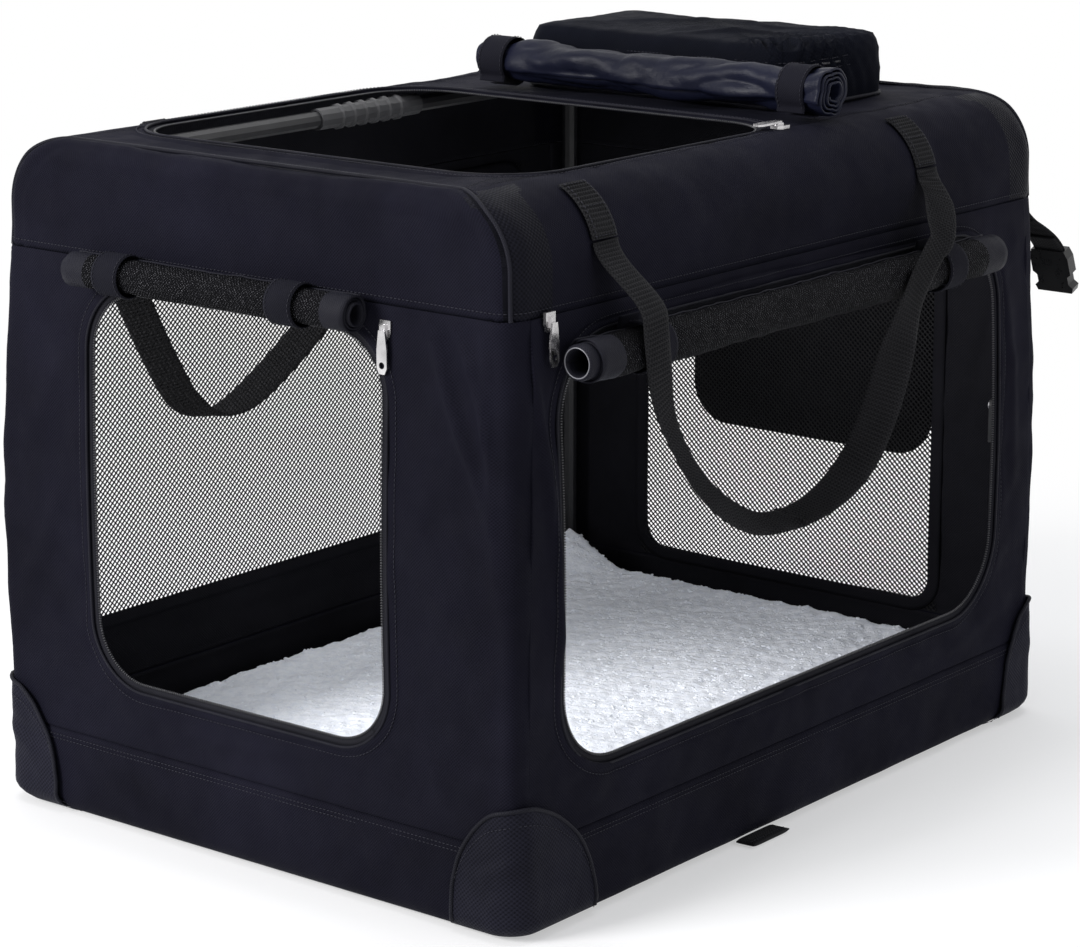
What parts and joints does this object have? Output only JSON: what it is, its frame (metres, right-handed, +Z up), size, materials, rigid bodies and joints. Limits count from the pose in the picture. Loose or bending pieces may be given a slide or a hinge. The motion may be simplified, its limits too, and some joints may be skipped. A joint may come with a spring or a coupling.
{
  "type": "soft dog crate",
  "caption": "Soft-sided folding dog crate: rolled-up mesh doors, mesh windows, roof pouch, webbing carry handles and a fleece mat on a knee-jointed steel frame.",
  "frame": {"origin": "middle of the padded floor's underside, on the ground", "axes": "+X along the length, away from the end with the door; +Y away from the long side with the door; +Z up"},
  "size_m": [0.7145, 0.536, 0.5101],
  "materials": {
    "navy_polyester": "near-black navy woven polyester, faint crinkle",
    "base_polyester": "near-black woven polyester over padding",
    "patch_polyester": "heavier near-black woven polyester with piped edge",
    "satin_lining": "bluish satin lining, creased",
    "pouch_polyester": "near-black navy woven polyester",
    "band_polyester": "plain near-black woven strip",
    "black_webbing": "ribbed black webbing",
    "window_net": "black open mesh",
    "rolled_net": "black mesh rolled up",
    "white_fleece": "bluish white curly pile",
    "floor_board": "black cloth over a stiff board",
    "frame_steel": "grey powder coat",
    "rivet_steel": "zinc plated",
    "grip_rubber": "black, ribbed",
    "zip_metal": "bright plated",
    "black_plastic": "moulded, satin"
  },
  "bodies": {
    "base": {"base_tray": "base_polyester", "floor_board": "floor_board", "base_rail_near": "frame_steel", "base_rail_far": "frame_steel", "front_wall": "navy_polyester", "rear_wall": "navy_polyester", "near_wall": "navy_polyester", "far_wall": "navy_polyester", "far_net": "window_net", "rear_net": "window_net", "rear_pocket": "navy_polyester", "corner_patch_front_near": "patch_polyester", "corner_patch_front_far": "patch_polyester", "corner_patch_rear_near": "patch_polyester", "corner_patch_rear_far": "patch_polyester", "ground_tab": "black_webbing"},
    "front_lower": {"lower_hoop_front": "frame_steel", "knee_rivet_front_near": "rivet_steel", "knee_rivet_front_far": "rivet_steel"},
    "front_upper": {"upper_hoop_front": "frame_steel"},
    "rear_lower": {"lower_hoop_rear": "frame_steel", "knee_rivet_rear_near": "rivet_steel", "knee_rivet_rear_far": "rivet_steel"},
    "rear_upper": {"upper_hoop_rear": "frame_steel"},
    "roof": {"roof_cover": "navy_polyester", "roof_rail_near": "frame_steel", "roof_rail_far": "frame_steel", "rail_grip_near": "grip_rubber", "rail_grip_far": "grip_rubber", "front_door_roll": "rolled_net", "side_door_roll": "rolled_net", "top_flap_roll": "satin_lining", "front_roll_band_1": "band_polyester", "front_roll_band_2": "band_polyester", "side_roll_band_1": "band_polyester", "side_roll_band_2": "band_polyester", "top_roll_band_1": "band_polyester", "top_roll_band_2": "band_polyester", "roof_pouch": "pouch_polyester", "near_handle_tab_front": "black_webbing", "near_handle_tab_rear": "black_webbing", "far_handle_tab_front": "black_webbing", "far_handle_tab_rear": "black_webbing"},
    "near_handle": {"near_handle": "black_webbing"},
    "far_handle": {"far_handle": "black_webbing"},
    "rear_strap": {"rear_strap": "black_webbing", "rear_buckle": "black_plastic"},
    "front_slider": {"front_zip_slider": "zip_metal"},
    "side_slider": {"side_zip_slider": "zip_metal"},
    "top_slider": {"top_zip_slider": "zip_metal"},
    "front_pull": {"front_zip_pull": "zip_metal"},
    "side_pull": {"side_zip_pull": "zip_metal"},
    "top_pull": {"top_zip_pull": "zip_metal"},
    "mat": {"fleece_mat": "white_fleece"}
  },
  "joints": [
    {"name": "fold", "type": "hinge", "parent": "base", "child": "front_lower", "pos_m": [-0.2872, 0, 0.0148], "axis": [0, 1, 0], "range_deg": [0, 72], "deforming": ["front_wall", "rear_wall", "near_wall", "far_wall", "far_net", "rear_net", "rear_pocket"]},
    {"name": "front_knee", "type": "hinge", "parent": "front_lower", "child": "front_upper", "pos_m": [-0.2872, 0, 0.231], "axis": [0, 1, 0], "range_deg": [-144, 0]},
    {"name": "roof_level", "type": "hinge", "parent": "front_upper", "child": "roof", "pos_m": [-0.2872, 0, 0.4472], "axis": [0, 1, 0], "range_deg": [0, 72]},
    {"name": "rear_fold", "type": "hinge", "parent": "base", "child": "rear_lower", "pos_m": [0.2872, 0, 0.0148], "axis": [0, 1, 0], "range_deg": [-72, 0]},
    {"name": "rear_knee", "type": "hinge", "parent": "rear_lower", "child": "rear_upper", "pos_m": [0.2872, 0, 0.231], "axis": [0, 1, 0], "range_deg": [0, 144]},
    {"name": "near_handle_swing", "type": "hinge", "parent": "roof", "child": "near_handle", "pos_m": [0, -0.2212, 0.425], "axis": [-1, 0, 0], "range_deg": [0, 115]},
    {"name": "far_handle_swing", "type": "hinge", "parent": "roof", "child": "far_handle", "pos_m": [0, 0.2212, 0.425], "axis": [1, 0, 0], "range_deg": [0, 115]},
    {"name": "strap_swing", "type": "hinge", "parent": "roof", "child": "rear_strap", "pos_m": [0.30095, -0.19, 0.396], "axis": [0, 1, 0], "range_deg": [-60, 25]},
    {"name": "front_zip_slide", "type": "slide", "parent": "roof", "child": "front_slider", "axis": [0, 0, -1], "range_m": [0, 0.15]},
    {"name": "front_pull_swing", "type": "hinge", "parent": "front_slider", "child": "front_pull", "pos_m": [-0.3052, -0.121, 0.372], "axis": [0, 1, 0], "range_deg": [0, 150]},
    {"name": "side_zip_slide", "type": "slide", "parent": "roof", "child": "side_slider", "axis": [0, 0, -1], "range_m": [0, 0.12]},
    {"name": "side_pull_swing", "type": "hinge", "parent": "side_slider", "child": "side_pull", "pos_m": [-0.269, -0.2252, 0.3845], "axis": [-1, 0, 0], "range_deg": [0, 150]},
    {"name": "top_zip_slide", "type": "slide", "parent": "roof", "child": "top_slider", "axis": [-1, 0, 0], "range_m": [0, 0.18]},
    {"name": "top_pull_swing", "type": "hinge", "parent": "top_slider", "child": "top_pull", "pos_m": [0.04, -0.171, 0.4652], "axis": [0, 1, 0], "range_deg": [0, 120]},
    {"name": "mat_lift", "type": "slide", "parent": "base", "child": "mat", "axis": [0, 0, 1], "range_m": [0, 0.06]}
  ],
  "couplings": [
    {"joint": "front_knee", "follows": "fold", "ratio": -2},
    {"joint": "roof_level", "follows": "fold", "ratio": 1},
    {"joint": "rear_fold", "follows": "fold", "ratio": -1},
    {"joint": "rear_knee", "follows": "fold", "ratio": 2}
  ]
}
